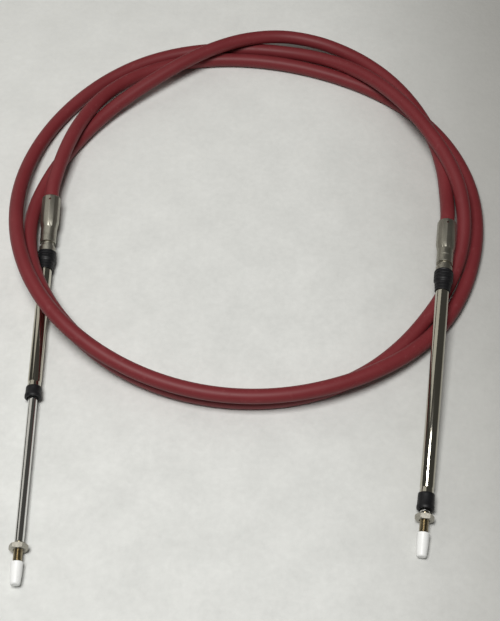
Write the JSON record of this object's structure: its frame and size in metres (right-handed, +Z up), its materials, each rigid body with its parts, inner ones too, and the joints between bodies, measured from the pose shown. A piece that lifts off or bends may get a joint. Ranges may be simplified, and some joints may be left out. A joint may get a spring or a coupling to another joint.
{
  "type": "boat steering cable",
  "caption": "Red jacketed push-pull control cable lying in a coil, each end with a crimped hub, a swivelling tube, a sliding threaded rod, a jam nut and a thread cap.",
  "frame": {"origin": "bottom centre of the box round the two end fittings, on the level floor the cable lies on", "axes": "+Z up; the tips of both fittings point towards -Y, and the coil lies on the +Y side"},
  "size_m": [0.3599, 0.4856, 0.0348],
  "materials": {
    "jacket": "smooth moulded jacket with a soft sheen",
    "hub_metal": "satin plated",
    "boot_rubber": "moulded, matt",
    "tube_steel": "polished lengthwise",
    "seal_rubber": "moulded, matt",
    "rod_steel": "bright",
    "nut_steel": "dull plated",
    "cap_plastic": "soft moulded"
  },
  "bodies": {
    "cable": {"conduit": "jacket", "left_hub": "hub_metal", "left_boot": "boot_rubber", "right_hub": "hub_metal", "right_boot": "boot_rubber"},
    "left_tube": {"left_sleeve": "tube_steel", "left_seal": "seal_rubber"},
    "left_slider": {"left_rod": "rod_steel"},
    "left_nut": {"left_jam_nut": "nut_steel"},
    "left_thread_cap": {"left_cap": "cap_plastic"},
    "right_tube": {"right_sleeve": "tube_steel", "right_seal": "seal_rubber"},
    "right_slider": {"right_rod": "rod_steel"},
    "right_nut": {"right_jam_nut": "nut_steel"},
    "right_thread_cap": {"right_cap": "cap_plastic"}
  },
  "joints": [
    {"name": "left_swivel", "type": "hinge", "parent": "cable", "child": "left_tube", "pos_m": [-0.149, 0.1023, 0.0083], "axis": [0, 0, 1], "range_deg": [-8, 8]},
    {"name": "left_rod_slide", "type": "slide", "parent": "left_tube", "child": "left_slider", "axis": [0.0087, -0.9999, -0.0077], "range_m": [-0.1016, 0]},
    {"name": "left_nut_turn", "type": "hinge", "parent": "left_slider", "child": "left_nut", "pos_m": [-0.147, -0.12738, 0.00654], "axis": [0.0087, -0.9999, -0.0077], "continuous": true},
    {"name": "left_cap_pull", "type": "slide", "parent": "left_slider", "child": "left_thread_cap", "axis": [0.0087, -0.9999, -0.0077], "range_m": [0, 0.018]},
    {"name": "right_swivel", "type": "hinge", "parent": "cable", "child": "right_tube", "pos_m": [0.1423, 0.0723, 0.0255], "axis": [0, 0, 1], "range_deg": [-8, 8]},
    {"name": "right_rod_slide", "type": "slide", "parent": "right_tube", "child": "right_slider", "axis": [-0.1384, -0.9851, -0.1019], "range_m": [0, 0.1016]},
    {"name": "right_nut_turn", "type": "hinge", "parent": "right_slider", "child": "right_nut", "pos_m": [0.11712, -0.10689, 0.00696], "axis": [-0.1384, -0.9851, -0.1019], "continuous": true},
    {"name": "right_cap_pull", "type": "slide", "parent": "right_slider", "child": "right_thread_cap", "axis": [-0.1384, -0.9851, -0.1019], "range_m": [0, 0.018]}
  ],
  "couplings": [
    {"joint": "right_rod_slide", "follows": "left_rod_slide", "ratio": -1}
  ]
}
